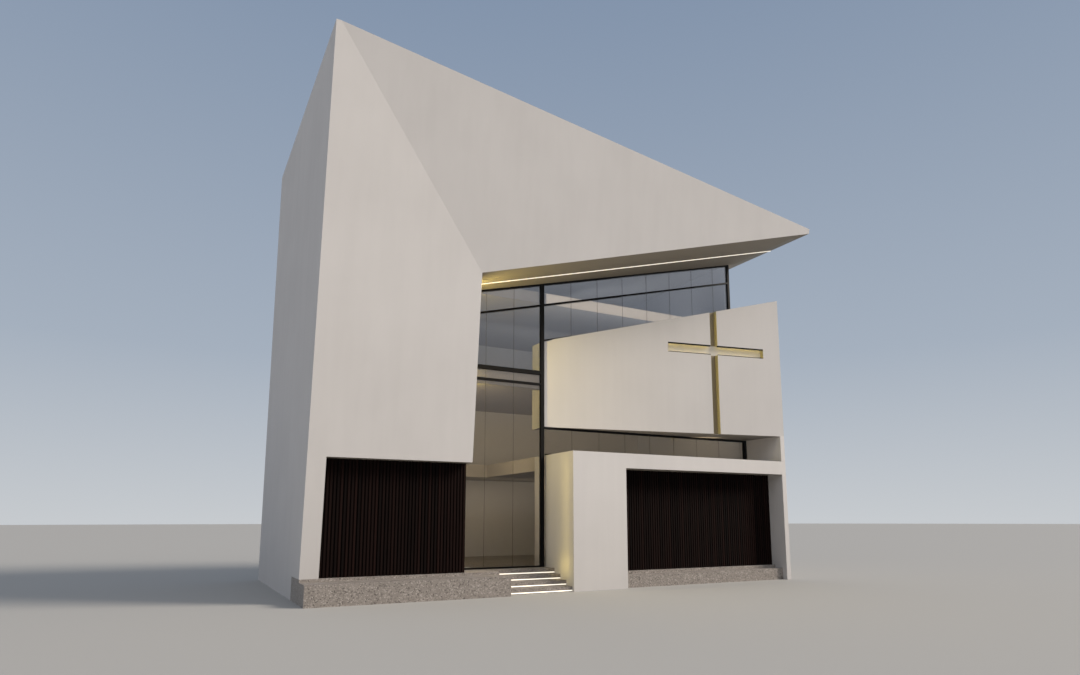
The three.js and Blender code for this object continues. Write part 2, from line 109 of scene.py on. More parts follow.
class ChurchColours(bpy.types.PropertyGroup):
    """Colours of the building's finishes."""

    wall: colour_property("Wall paint", "Mineral paint on the outer walls", "#D6D2CF")
    wall_cloud: colour_property("Wall cloud", "Darker trowel clouds in the paint", "#D2CECB")
    plaster: colour_property("Inner plaster", "Painted plaster in the hall", "#A79F94")
    granite: colour_property("Granite", "Ground mass of the podium stone", "#908881")
    granite_dark: colour_property("Dark flecks", "Mica flecks in the granite", "#58524D")
    granite_pale: colour_property("Pale flecks", "Feldspar flecks in the granite", "#B4ACA5")
    slat: colour_property("Slats", "Stained batten, palest", "#22110D")
    slat_dark: colour_property("Dark grain", "Stained batten, darkest", "#080403")
    metal: colour_property("Frames", "Powder coat of the glass frames", "#0B0908")
    glass: colour_property("Glass", "Coated glass", "#E8ECF2")
    # Painted shade: the warmer, deeper grey that the undersides of the render get
    soffit: colour_property("Soffit paint", "Warm grey paint on the undersides", "#928B81")
    gold: colour_property("Gold lining", "Gold anodised sides of the cross", "#E0D6A6")
    # Painted shade: the darker sheet on the back of the upright, where the recess lies in shade
    upright_back_shade: colour_property("Champagne", "Anodised back of the cross's upright", "#9D917A")
    light: colour_property("Light lines", "White light diffusers", "#FFF6E6")
    glow: colour_property("Warm light", "Warm light in the cross and the porch", "#FFE584")


class ChurchSizes(bpy.types.PropertyGroup):
    """Sizes of the fine pieces that the frame leaves to this file."""

    strip_height: length_property("Step strip height", "Lit height at a riser's foot", 0.032)
    strip_depth: length_property("Step strip depth", "How far a strip stands out", 0.012)
    strip_centre: length_property(
        "Step strip centre", "Middle of the lit height over a tread", 0.035)
    pane_width: length_property("Pane width", "Distance between joints in the glass", 1.12)
    joint_width: length_property("Joint width", "Dark grey sealant between two panes", 0.007)
    trim: length_property("Sheet trim", "Thickness of the folded metal trims", 0.003)
    seam_width: length_property("Roof seam width", "Welded lap of the roofing membrane", 0.06)
    seam_pitch: length_property("Roof seam spacing", "Width of a membrane sheet", 1.9)
    screw_head: length_property("Screw head", "Diameter of a batten screw's head", 0.012)


class ChurchStage(bpy.types.PropertyGroup):
    """Camera and studio light."""

    lens: FloatProperty(name="Lens", description="Focal length on a 36 mm sensor", default=23.27)
    shift_x: FloatProperty(
        name="Shift X", description="Sideways shift of the picture", default=-0.0065)
    shift_y: FloatProperty(
        name="Shift Y", description="Upward shift of the picture", default=0.0708)
    key: FloatProperty(name="Key light", description="Strength of the soft key light", default=3.0)
    ambient: FloatProperty(
        name="Ambient", description="Strength of the backdrop's light", default=1.0)
    mirrored: FloatProperty(
        name="Mirrored share", description="Share of the ambient light that the glass mirrors",
        default=0.65, min=0.0, max=1.0)
    floor: colour_property("Floor", "Plain pale floor", "#A9A7A3")


def add_node(tree, kind, links=None, stops=(), **settings):
    """Adds a node with its settings and colour stops, and sets or links its inputs."""
    # A Mix node's inputs go by number: 0 the share, 2 and 3 numbers, 6 and 7 colours
    made = tree.nodes.new(kind)
    for name, value in settings.items():
        setattr(made, name, value)
    if stops:
        ramp = made.color_ramp
        while len(ramp.elements) < len(stops):
            ramp.elements.new(1.0)
        for element, (position, colour) in zip(ramp.elements, stops):
            element.position = position
            element.color = rgba(colour)
    for socket, value in (links or {}).items():
        if isinstance(value, bpy.types.NodeSocket):
            tree.links.new(value, made.inputs[socket])
        else:
            made.inputs[socket].default_value = value
    return made


def start_material(name, **fixed):
    """A new material and its node tree, with the shader's plain values by socket name."""
    material = bpy.data.materials.new(name)
    material.use_nodes = True
    shader = material.node_tree.nodes["Principled BSDF"]
    for socket, value in fixed.items():
        shader.inputs[socket.replace("_", " ")].default_value = value
    return material, material.node_tree


def join_shader(material, **outputs):
    """Links outputs to the shader's sockets of those names, and gives the material back."""
    tree = material.node_tree
    shader = tree.nodes["Principled BSDF"]
    for socket, output in outputs.items():
        tree.links.new(output, shader.inputs[socket.replace("_", " ")])
    return material


def soft_pattern(tree, place, size, stops, length=None, **noise):
    """A noise of one size, drawn out along Z if it has a length, and its colours."""
    noise.update({"Vector": place, "Scale": 1 / size})
    if length:
        noise["Vector"] = add_node(tree, "ShaderNodeMapping", {
            "Vector": place, "Scale": (1 / size, 1 / size, 1 / length)}).outputs["Vector"]
        noise["Scale"] = 1.0
    pattern = add_node(tree, "ShaderNodeTexNoise", noise).outputs["Fac"]
    tones = add_node(tree, "ShaderNodeValToRGB", {"Fac": pattern}, stops=stops).outputs["Color"]
    return pattern, tones


def grey(value):
    """A grey for a ramp that drives a number."""
    return (value, value, value)


def toned(colour, by):
    """A darker or a lighter tone of a colour."""
    return tuple(min(1.0, channel * by) for channel in colour)


def painted_render(colours):
    """Matt mineral paint on troweled render."""
    # Faint trowel clouds, rain streaks, a tone that darkens towards the ground, and a
    # sand grain. The real grain is 1.5 mm; it is drawn at 25 mm so that it shows.
    cloud_size, grain_size, darkening_height = 2.4, 0.025, 8.0
    streak_width, streak_length = 0.35, 6.0
    facing_down = -0.6
    material, tree = start_material("painted_troweled_render")
    coordinates = add_node(tree, "ShaderNodeTexCoord").outputs
    place = coordinates["Object"]
    _, tone = soft_pattern(tree, place, cloud_size, [
        (0.32, colours.wall_cloud), (0.62, colours.wall)], Detail=4.0)
    _, rain = soft_pattern(tree, place, streak_width, [
        (0.35, grey(0.98)), (0.6, grey(1.0))], streak_length, Detail=3.0)
    streaked = add_node(tree, "ShaderNodeMix", {0: 1.0, 6: tone, 7: rain},
                        data_type="RGBA", blend_type="MULTIPLY").outputs[2]
    # Darker towards the ground, fading out at the darkening height
    above_ground = add_node(tree, "ShaderNodeSeparateXYZ", {"Vector": place}).outputs["Z"]
    share = add_node(tree, "ShaderNodeMath", {0: above_ground, 1: darkening_height},
                     operation="DIVIDE").outputs[0]
    ground_darkening = add_node(tree, "ShaderNodeValToRGB", {"Fac": share}, stops=[
        (0.0, grey(0.84)), (0.4, grey(0.95)), (1.0, grey(1.0))]).outputs["Color"]
    streaked_and_darkened = add_node(tree, "ShaderNodeMix", {0: 1.0, 6: streaked, 7: ground_darkening},
                       data_type="RGBA", blend_type="MULTIPLY").outputs[2]
    # Undersides get a warmer, deeper grey than the walls: painted shade where they face down
    facing = add_node(tree, "ShaderNodeSeparateXYZ", {
        "Vector": coordinates["Normal"]}).outputs["Z"]
    underside_shade_mask = add_node(tree, "ShaderNodeMath", {0: facing, 1: facing_down},
                        operation="LESS_THAN").outputs[0]
    wall_with_underside_shade = add_node(tree, "ShaderNodeMix", {
        0: underside_shade_mask, 6: streaked_and_darkened, 7: rgba(colours.soffit)}, data_type="RGBA").outputs[2]
    grain, rough = soft_pattern(tree, place, grain_size, [
        (0.3, grey(0.78)), (0.7, grey(0.92))], Detail=5.0)
    bump = add_node(tree, "ShaderNodeBump", {
        "Height": grain, "Strength": 0.25, "Distance": 0.004}).outputs["Normal"]
    return join_shader(material, Base_Color=wall_with_underside_shade, Roughness=rough, Normal=bump)


def inner_plaster(colours):
    """Smooth painted plaster of the hall, with faint roller marks."""
    roller_width = 0.25
    material, tree = start_material("rolled_inner_plaster", Roughness=0.85)
    place = add_node(tree, "ShaderNodeTexCoord").outputs["Object"]
    marks, tone = soft_pattern(tree, place, roller_width, [
        (0.35, colours.plaster), (0.65, toned(colours.plaster, 1.05))], Detail=4.0)
    bump = add_node(tree, "ShaderNodeBump", {
        "Height": marks, "Strength": 0.1, "Distance": 0.002}).outputs["Normal"]
    return join_shader(material, Base_Color=tone, Normal=bump)


def flamed_granite(colours):
    """Flame-finished granite: a rough grey stone with dark and pale flecks."""
    # Real crystals are 3 to 8 mm across. They are drawn at 28 mm, so that the
    # speckle still shows from the street.
    fleck_size, patch_size = 0.028, 0.5
    material, tree = start_material("flamed_granite")
    place = add_node(tree, "ShaderNodeTexCoord").outputs["Object"]
    cells = add_node(tree, "ShaderNodeTexVoronoi", {
        "Vector": place, "Scale": 1 / fleck_size}).outputs["Color"]
    pick = add_node(tree, "ShaderNodeSeparateColor", {"Color": cells}).outputs["Red"]
    flecks = add_node(tree, "ShaderNodeValToRGB", {"Fac": pick}, stops=[
        (0.0, colours.granite_dark), (0.22, colours.granite),
        (0.74, colours.granite), (1.0, colours.granite_pale)]).outputs["Color"]
    _, shade = soft_pattern(tree, place, patch_size, [
        (0.3, grey(0.9)), (0.7, grey(1.0))], Detail=3.0)
    stone = add_node(tree, "ShaderNodeMix", {0: 1.0, 6: flecks, 7: shade},
                     data_type="RGBA", blend_type="MULTIPLY").outputs[2]
    rough = add_node(tree, "ShaderNodeValToRGB", {"Fac": pick}, stops=[
        (0.0, grey(0.5)), (1.0, grey(0.8))]).outputs["Color"]
    bump = add_node(tree, "ShaderNodeBump", {
        "Height": pick, "Strength": 0.35, "Distance": 0.003}).outputs["Normal"]
    return join_shader(material, Base_Color=stone, Roughness=rough, Normal=bump)


def floor_tiles(colours):
    """Honed stone tiles of the hall, 0.6 m square with thin joints."""
    tile, joint = 0.6, 0.006
    material, tree = start_material("honed_floor_tiles", Roughness=0.38)
    place = add_node(tree, "ShaderNodeTexCoord").outputs["Object"]
    brick = add_node(tree, "ShaderNodeTexBrick", {
        "Vector": place, "Scale": 1.0, "Mortar Size": joint / 2, "Brick Width": tile,
        "Row Height": tile, "Color1": rgba(linear("#8A8073")), "Color2": rgba(linear("#7F766A")),
        "Mortar": rgba(linear("#4A443D"))}, offset=0.0).outputs
    bump = add_node(tree, "ShaderNodeBump", {
        "Height": brick["Fac"], "Strength": 0.3, "Distance": 0.002},
        invert=True).outputs["Normal"]
    return join_shader(material, Base_Color=brick["Color"], Normal=bump)


def stained_batten(colours):
    """Dark stained softwood battens: upright grain, each batten its own tone."""
    # Real grain lines are 2 to 4 mm apart. They are drawn at 12 mm so that they show.
    grain_width, grain_length, own_share = 0.012, 0.7, 0.35
    material, tree = start_material("dark_stained_batten", Specular_IOR_Level=0.1)
    place = add_node(tree, "ShaderNodeTexCoord").outputs["Object"]
    across = add_node(tree, "ShaderNodeSeparateXYZ", {"Vector": place}).outputs["X"]
    scaled = add_node(tree, "ShaderNodeMath", {0: across, 1: 1 / BATTEN_PITCH},
                      operation="MULTIPLY").outputs[0]
    count = add_node(tree, "ShaderNodeMath", {0: scaled}, operation="FLOOR").outputs[0]
    own = add_node(tree, "ShaderNodeTexWhiteNoise", {"W": count},
                   noise_dimensions="1D").outputs["Value"]
    grain, rough = soft_pattern(tree, place, grain_width, [
        (0.3, grey(0.62)), (0.7, grey(0.78))], grain_length, Detail=4.0, Distortion=0.4)
    blend = add_node(tree, "ShaderNodeMix", {0: own_share, 2: grain, 3: own}).outputs[0]
    tone = add_node(tree, "ShaderNodeValToRGB", {"Fac": blend}, stops=[
        (0.25, colours.slat_dark), (0.75, colours.slat)]).outputs["Color"]
    bump = add_node(tree, "ShaderNodeBump", {
        "Height": grain, "Strength": 0.3, "Distance": 0.0015}).outputs["Normal"]
    return join_shader(material, Base_Color=tone, Roughness=rough, Normal=bump)


def stained_board(colours):
    """The board behind the battens, stained darker still."""
    grain_size = 0.05
    material, tree = start_material("dark_stained_board", Roughness=0.8)
    place = add_node(tree, "ShaderNodeTexCoord").outputs["Object"]
    _, tone = soft_pattern(tree, place, grain_size, [
        (0.3, toned(colours.slat_dark, 0.6)), (0.7, colours.slat_dark)], Detail=3.0)
    return join_shader(material, Base_Color=tone)


def powder_coat(colours):
    """Satin powder coat on aluminium: near black, with a soft orange-peel surface."""
    peel_size = 0.004
    material, tree = start_material("satin_powder_coat", Roughness=0.5, Specular_IOR_Level=0.18)
    place = add_node(tree, "ShaderNodeTexCoord").outputs["Object"]
    peel, tone = soft_pattern(tree, place, peel_size, [
        (0.3, colours.metal), (0.7, toned(colours.metal, 1.25))], Detail=2.0)
    bump = add_node(tree, "ShaderNodeBump", {
        "Height": peel, "Strength": 0.08, "Distance": 0.0005}).outputs["Normal"]
    return join_shader(material, Base_Color=tone, Normal=bump)


def coated_glass(colours):
    """Float glass with a thin metal coating: see-through, with a cool mirror sheen."""
    face_on, edge_on = 0.17, 0.85
    # Float glass is never quite flat: slow waves bend what it mirrors
    wave_size = 1.6
    material, tree = start_material("coated_float_glass", Metallic=1.0, Roughness=0.02)
    place = add_node(tree, "ShaderNodeTexCoord").outputs["Object"]
    waves, tone = soft_pattern(tree, place, wave_size, [
        (0.3, colours.glass), (0.7, toned(colours.glass, 1.08))], Detail=1.0)
    bump = add_node(tree, "ShaderNodeBump", {
        "Height": waves, "Strength": 0.1, "Distance": 0.02}).outputs["Normal"]
    sheen = add_node(tree, "ShaderNodeLayerWeight", {"Blend": 0.25}).outputs["Fresnel"]
    cover = add_node(tree, "ShaderNodeMapRange", {
        "Value": sheen, "To Min": face_on, "To Max": edge_on}).outputs["Result"]
    return join_shader(material, Base_Color=tone, Normal=bump, Alpha=cover)


def roofing_membrane(colours, name="welded_roofing_membrane", dusty="#8C8984", clean="#9D9A95"):
    """Welded plastic roofing membrane: pale grey with a fine weave and dust in its dips."""
    # The real weave is 1 to 2 mm. It is drawn at 20 mm so that it shows.
    dust_size, weave_size = 1.2, 0.02
    material, tree = start_material(name, Roughness=0.7)
    place = add_node(tree, "ShaderNodeTexCoord").outputs["Object"]
    _, tone = soft_pattern(tree, place, dust_size, [
        (0.35, linear(dusty)), (0.65, linear(clean))], Detail=5.0)
    weave = add_node(tree, "ShaderNodeTexNoise", {
        "Vector": place, "Scale": 1 / weave_size}).outputs["Fac"]
    bump = add_node(tree, "ShaderNodeBump", {
        "Height": weave, "Strength": 0.15, "Distance": 0.001}).outputs["Normal"]
    return join_shader(material, Base_Color=tone, Normal=bump)


def folded_trim(colours):
    """Folded sheet metal painted like the walls, a little smoother and cooler."""
    film_size = 0.3
    material, tree = start_material("painted_folded_sheet", Roughness=0.45)
    place = add_node(tree, "ShaderNodeTexCoord").outputs["Object"]
    _, tone = soft_pattern(tree, place, film_size, [
        (0.3, linear("#ADA9A3")), (0.7, linear("#B8B4AE"))], Detail=3.0)
    return join_shader(material, Base_Color=tone)


def anodised_lining(name, colour):
    """Anodised aluminium sheet with a soft brushed sheen."""
    # Real brush lines are under 1 mm wide. They are drawn at 8 mm so that they show.
    brush_width, brush_length = 0.008, 0.4
    material, tree = start_material(name, Metallic=0.5, Roughness=0.42)
    place = add_node(tree, "ShaderNodeTexCoord").outputs["Object"]
    brushed, tone = soft_pattern(tree, place, brush_width, [
        (0.3, toned(colour, 0.85)), (0.7, colour)], brush_length, Detail=3.0)
    bump = add_node(tree, "ShaderNodeBump", {
        "Height": brushed, "Strength": 0.1, "Distance": 0.0005}).outputs["Normal"]
    return join_shader(material, Base_Color=tone, Normal=bump)


def grey_sealant(colours):
    """Dark grey silicone between the panes, with a slight tooled ripple."""
    ripple = 0.03
    material, tree = start_material("dark_grey_silicone_sealant", Roughness=0.55)
    place = add_node(tree, "ShaderNodeTexCoord").outputs["Object"]
    _, tone = soft_pattern(tree, place, ripple, [
        (0.3, linear("#343433")), (0.7, linear("#3C3B3A"))])
    return join_shader(material, Base_Color=tone)


def lit_diffuser(name, colour, strength):
    """An opal light diffuser with faint bright spots from its diodes."""
    # Real diodes are 8 to 17 mm apart. Their spots are drawn at 50 mm so that they show.
    diode_pitch = 0.05
    material, tree = start_material(name, Roughness=0.4, Emission_Strength=strength)
    place = add_node(tree, "ShaderNodeTexCoord").outputs["Object"]
    _, tone = soft_pattern(tree, place, diode_pitch, [
        (0.35, toned(colour, 0.92)), (0.65, colour)])
    return join_shader(material, Base_Color=tone, Emission_Color=tone)


FINISHES = {
    "render": painted_render,
    "interior_plaster": inner_plaster,
    "roofing": roofing_membrane,
    "granite": flamed_granite,
    "floor_stone": floor_tiles,
    "slats": stained_batten,
    "backing_board": stained_board,
    "frame": powder_coat,
    "glass": coated_glass,
    "light_line": lambda colours: lit_diffuser("soffit_light_diffuser", colours.light, 0.85),
    # Finishes of the fine pieces that this file adds
    "step_light": lambda colours: lit_diffuser("step_light_diffuser", colours.light, 1.0),
    "cross_light": lambda colours: lit_diffuser("cross_light_diffuser", colours.glow, 3.2),
    "upright_light": lambda colours: lit_diffuser("upright_light_diffuser", colours.glow, 1.2),
    "porch_light": lambda colours: lit_diffuser("porch_light_diffuser", colours.glow, 1.1),
    "gold": lambda colours: anodised_lining("gold_anodised_aluminium", colours.gold),
    # The upright's darker back sheet is painted shade of the recess
    "upright_back_shade": lambda colours: anodised_lining(
        "upright_back_painted_shade", colours.upright_back_shade),
    "sealant": grey_sealant,
    "trim": folded_trim,
    "lap": lambda colours: roofing_membrane(colours, "hot_welded_lap", "#A5A29D", "#B4B1AC"),
}
made_materials = {}


def finish(key):
    """The material of a slot or of a fine piece, made once."""
    if key not in made_materials:
        made_materials[key] = FINISHES[key](bpy.context.scene.church_colours)
    return made_materials[key]


def at(value, x):
    """A place that may be a number or a function of x."""
    return value(x) if callable(value) else value


def add_bar(mesh, span, front, back, foot, top):
    """A bar from span[0] to span[1] along X, whose four sides may follow lines over x."""
    ends = []
    for x in span:
        ends.append([mesh.verts.new((x, at(y, x), at(z, x)))
                     for y, z in ((front, foot), (back, foot), (back, top), (front, top))])
    left, right = ends
    mesh.faces.new(left)
    mesh.faces.new(right[::-1])
    for i in range(4):
        j = (i + 1) % 4
        mesh.faces.new((left[j], left[i], right[i], right[j]))


def keep_piece(name, mesh, key, slot=None):
    """Turns a bmesh into a finished piece; its slot, its finish's own if none is given, only sets
    whether the glass mirrors it.
    """
    slot = slot or key
    bmesh.ops.recalc_face_normals(mesh, faces=mesh.faces)
    data = bpy.data.meshes.new(name)
    mesh.to_mesh(data)
    mesh.free()
    piece = bpy.data.objects.new(name, data)
    bpy.context.scene.collection.objects.link(piece)
    data.materials.append(finish(key))
    piece.visible_glossy = slot not in UNMIRRORED
    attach(piece, BODY)


def bars_piece(name, bars, key, slot=None):
    """One piece made of several bars, each given as add_bar takes it."""
    mesh = bmesh.new()
    for bar in bars:
        add_bar(mesh, *bar)
    keep_piece(name, mesh, key, slot)


ROW_INPUTS = (
    ("Count", "NodeSocketInt"), ("First", "NodeSocketVector"),
    ("Spacing", "NodeSocketVector"), ("Size", "NodeSocketVector"),
    ("Growth", "NodeSocketFloat"), ("Material", "NodeSocketMaterial"),
)


def row_tree(name, shape, shape_links, turn=(0.0, 0.0, 0.0), lift=0.5):
    """A tree that repeats a shape in a row; Growth is what each adds to the height."""
    tree = bpy.data.node_groups.new(name, "GeometryNodeTree")
    tree.interface.new_socket(name="Geometry", in_out="OUTPUT", socket_type="NodeSocketGeometry")
    for label, kind in ROW_INPUTS:
        tree.interface.new_socket(name=label, in_out="INPUT", socket_type=kind)
    given = add_node(tree, "NodeGroupInput").outputs
    points = add_node(tree, "GeometryNodeMeshLine", {
        "Count": given["Count"], "Start Location": given["First"],
        "Offset": given["Spacing"]}).outputs["Mesh"]
    form = add_node(tree, shape, shape_links).outputs["Mesh"]
    stood = add_node(tree, "GeometryNodeTransform", {
        "Geometry": form, "Translation": (0.0, 0.0, lift), "Rotation": turn}).outputs["Geometry"]
    index = add_node(tree, "GeometryNodeInputIndex").outputs["Index"]
    extra = add_node(tree, "ShaderNodeMath", {0: index, 1: given["Growth"]},
                     operation="MULTIPLY").outputs[0]
    parts = add_node(tree, "ShaderNodeSeparateXYZ", {"Vector": given["Size"]}).outputs
    height = add_node(tree, "ShaderNodeMath", {0: parts["Z"], 1: extra},
                      operation="ADD").outputs[0]
    scale = add_node(tree, "ShaderNodeCombineXYZ", {
        "X": parts["X"], "Y": parts["Y"], "Z": height}).outputs["Vector"]
    copies = add_node(tree, "GeometryNodeInstanceOnPoints", {
        "Points": points, "Instance": stood, "Scale": scale}).outputs["Instances"]
    real = add_node(tree, "GeometryNodeRealizeInstances", {"Geometry": copies}).outputs["Geometry"]
    dressed = add_node(tree, "GeometryNodeSetMaterial", {
        "Geometry": real, "Material": given["Material"]}).outputs["Geometry"]
    add_node(tree, "NodeGroupOutput", {"Geometry": dressed})
    return tree


def row_mesh(tree, values):
    """The mesh that a row tree gives for these values."""
    carrier = bpy.data.objects.new("row", bpy.data.meshes.new("row"))
    bpy.context.scene.collection.objects.link(carrier)
    modifier = carrier.modifiers.new("row", "NODES")
    modifier.node_group = tree
    for item in tree.interface.items_tree:
        if item.in_out == "INPUT":
            modifier[item.identifier] = values[item.name]
    graph = bpy.context.evaluated_depsgraph_get()
    made = bpy.data.meshes.new_from_object(carrier.evaluated_get(graph))
    bpy.data.objects.remove(carrier)
    return made


def row_piece(name, tree, rows, key, slot=None):
    """One piece made of rows of like shapes. Each row: count, first, spacing, size, growth."""
    mesh = bmesh.new()
    for count, first, spacing, size, growth in rows:
        made = row_mesh(tree, {
            "Count": count, "First": first, "Spacing": spacing, "Size": size,
            "Growth": growth, "Material": finish(key)})
        mesh.from_mesh(made)
        bpy.data.meshes.remove(made)
    keep_piece(name, mesh, key, slot)


def bar_rows():
    """The tree that repeats upright bars."""
    known = bpy.data.node_groups.get("bar_row")
    return known or row_tree("bar_row", "GeometryNodeMeshCube", {"Size": (1.0, 1.0, 1.0)})


def screw_rows():
    """The tree that repeats round screw heads, which face the front."""
    known = bpy.data.node_groups.get("screw_row")
    return known or row_tree(
        "screw_row", "GeometryNodeMeshCylinder",
        {"Vertices": 10, "Radius": 0.5, "Depth": 1.0}, (math.pi / 2, 0.0, 0.0), 0.0)


def height_at(node, x):
    """The lowest and highest point of a CAD node at one place along X."""
    data = frame["nodes"][node].data
    found = []
    for edge in data.edges:
        a, b = (data.vertices[i].co for i in edge.vertices)
        if min(a.x, b.x) <= x <= max(a.x, b.x) and abs(a.x - b.x) > 1e-6:
            share = (x - a.x) / (b.x - a.x)
            found.append(a.z + (b.z - a.z) * share)
    return min(found), max(found)


def line_through(x0, value0, x1, value1):
    """The straight line through two places, as a function of x."""
    slope = (value1 - value0) / (x1 - x0)
    return lambda x: value0 + slope * (x - x0)


def shifted(line, by):
    """A line moved up or back."""
    return lambda x: at(line, x) + by


def panel_lines():
    """Front face and top edge of the slanted panel, as lines over x."""
    low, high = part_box("cross_panel")
    face = line_through(low.x, high.y - PANEL_DEPTH, high.x, low.y)
    left_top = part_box("cross_panel_return")[1].z
    return face, line_through(low.x, left_top, high.x, high.z)


def roof_line():
    """Height of the roof over x, from the left wall's top to the tip."""
    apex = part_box("front_wall")
    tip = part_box("upper_facade")
    tip_height = 13.06
    return line_through(tip[0].x, apex[1].z, tip[1].x, tip_height)


def add_lamp(name, place, way, size, power, colour):
    """A soft rectangular lamp that faces a way, with its height along Z where it can."""
    lamp = bpy.data.lights.new(name, "AREA")
    lamp.shape = "RECTANGLE"
    lamp.size, lamp.size_y = size
    lamp.energy = power
    lamp.color = colour
    holder = bpy.data.objects.new(name, lamp)
    bpy.context.scene.collection.objects.link(holder)
    holder.visible_camera = False
    holder.visible_glossy = False
    holder.matrix_world = Matrix.Translation(place) @ Vector(way).to_track_quat(
        "-Z", "Y").to_matrix().to_4x4()


class Church:
    """What all the operators share."""

    bl_options = {"REGISTER", "UNDO"}


class CHURCH_OT_finishes(Church, bpy.types.Operator):
    """Gives each CAD node the finish of its material slot"""

    bl_idname = "church.finishes"
    bl_label = "Finishes"

    def execute(self, context):
        for part in frame["record"]["subparts"]:
            node = frame["nodes"][part["node"]]
            material = finish(part["material_slot"])
            if not node.material_slots:
                node.data.materials.append(material)
            for slot in node.material_slots:
                slot.link = "OBJECT"
                slot.material = material
        return {"FINISHED"}


class CHURCH_OT_step_lights(Church, bpy.types.Operator):
    """Makes the light strips at the feet of the risers"""

    bl_idname = "church.step_lights"
    bl_label = "Step lights"

    def execute(self, context):
        sizes = context.scene.church_sizes
        first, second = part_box("step_1"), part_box("step_2")
        count, rim, proud, end_gap = 4, 0.004, 0.004, 0.01
        spacing = (0.0, second[0].y - first[0].y, second[0].z - first[0].z)
        width = first[1].x - first[0].x
        middle = (first[0].x + first[1].x) / 2
        foot = first[0].z + sizes.strip_centre - sizes.strip_height / 2
        channel_depth = sizes.strip_depth - proud
        row_piece("step_light_channels", bar_rows(), [(
            count, (middle, first[0].y - channel_depth / 2, foot - rim), spacing,
            (width, channel_depth, sizes.strip_height + 2 * rim), 0.0)], "frame")
        row_piece("step_light_strips", bar_rows(), [(
            count, (middle, first[0].y - sizes.strip_depth / 2, foot), spacing,
            (width - 2 * end_gap, sizes.strip_depth, sizes.strip_height), 0.0)],
            "step_light", "light_line")
        return {"FINISHED"}


class CHURCH_OT_cross(Church, bpy.types.Operator):
    """Makes the gold lining and the hidden light strips in the recess of the cross"""

    bl_idname = "church.cross"
    bl_label = "Cross lining and lights"

    def execute(self, context):
        face, top = panel_lines()
        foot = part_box("cross_panel")[0].z
        upright, arm = CROSS_UPRIGHT, CROSS_ARM
        arm_foot, arm_top = CROSS_ARM_HEIGHT
        halves = ((arm[0], upright[0]), (upright[1], arm[1]))
        housing, housing_depth, lip, lip_depth = 0.045, 0.055, 0.026, 0.01
        housings = [(half, face, shifted(face, housing_depth), arm_top - housing, arm_top)
                    for half in halves]
        housings += [(half, face, shifted(face, lip_depth), arm_foot, arm_foot + lip)
                     for half in halves]
        bars_piece("cross_light_housings", housings, "frame")

        # Thin sheets line the sides of the recess and the back of the upright; the darker back
        # sheet is painted shade of the recess
        sheet, clear_of_back, under_top = 0.003, 0.001, 0.004
        deepest = CROSS_RECESS - clear_of_back
        rear = shifted(face, deepest)
        stretches = ((foot, arm_foot), (arm_top, shifted(top, -under_top)))
        jambs = ((upright[0], upright[0] + sheet), (upright[1] - sheet, upright[1]))
        ends = ((arm[0], arm[0] + sheet), (arm[1] - sheet, arm[1]))
        floors = ((arm[0] + sheet, upright[0]), (upright[1], arm[1] - sheet))
        lining = [(jamb, face, rear, low, high) for low, high in stretches for jamb in jambs]
        lining += [(end, face, rear, arm_foot, arm_top - housing) for end in ends]
        lining += [(floor, face, rear, arm_foot, arm_foot + sheet) for floor in floors]
        bars_piece("cross_side_lining", lining, "gold", "frame")
        between = (upright[0] + sheet, upright[1] - sheet)
        shaded_backs = [(between, shifted(face, deepest - sheet), rear, low, high)
                 for low, high in stretches]
        bars_piece("cross_back_painted_shade", shaded_backs, "upright_back_shade", "frame")

        # The arm is lit from behind its housing and its lip, the upright from its left side
        strip, strip_depth, end_gap = 0.012, 0.035, 0.02
        low_front, low_rear, upright_front, upright_rear = 0.012, 0.04, 0.035, 0.065
        lit = [(start + end_gap, stop - end_gap) for start, stop in halves]
        strips = [(half, shifted(face, housing_depth), shifted(face, housing_depth + strip_depth),
                   arm_top - strip, arm_top) for half in lit]
        strips += [(half, shifted(face, low_front), shifted(face, low_rear),
                    arm_foot + sheet, arm_foot + strip) for half in lit]
        bars_piece("cross_arm_light", strips, "cross_light", "light_line")
        hidden = (upright[0] + sheet, upright[0] + sheet + strip)
        near, far = shifted(face, upright_front), shifted(face, upright_rear)
        bars_piece("cross_upright_light", [
            (hidden, near, far, foot + end_gap, arm_foot),
            (hidden, near, far, arm_top, shifted(top, -end_gap))], "upright_light", "light_line")
        return {"FINISHED"}


class CHURCH_OT_glass_joints(Church, bpy.types.Operator):
    """Makes the sealed joints between the panes and the rail over the slanted panel"""

    bl_idname = "church.glass_joints"
    bl_label = "Glass joints"

    def execute(self, context):
        sizes = context.scene.church_sizes
        proud, depth = 0.001, 0.009
        rows = []
        left_bay = ("glass_left_low", "glass_left_gallery", "glass_left_middle", "glass_left_top")
        right_bay = ("glass_right_middle", "glass_right_top", "glass_low_strip")
        right_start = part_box("main_mullion")[1].x
        for pane in left_bay + right_bay:
            low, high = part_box(pane)
            if pane in left_bay:
                count = 2
                pitch = (high.x - low.x) / (count + 1)
                x = low.x + pitch
            else:
                pitch = sizes.pane_width
                x = right_start + pitch
                count = int((high.x - x) / pitch) + 1
            # Half a pitch further on is still on the pane, so a slope is doubled from there
            foot, top = height_at(pane, x)
            next_foot, next_top = height_at(pane, x + pitch * 0.5)
            rise = 2 * (next_foot - foot)
            growth = 2 * (next_top - top) - rise
            rows.append((
                count, (x, low.y - proud + depth / 2, foot), (pitch, 0.0, rise),
                (sizes.joint_width, depth, top - foot), growth))
        row_piece("glass_joints", bar_rows(), rows, "sealant", "frame")

        # A rail closes the glass over the top edge of the slanted panel
        rail_below, rail_above = 0.012, 0.038
        top = panel_lines()[1]
        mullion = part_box("main_mullion")
        bars_piece("panel_top_rail", [(
            (mullion[1].x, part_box("right_mullion")[0].x), mullion[0].y, mullion[1].y,
            shifted(top, -rail_below), shifted(top, rail_above))], "frame")
        return {"FINISHED"}


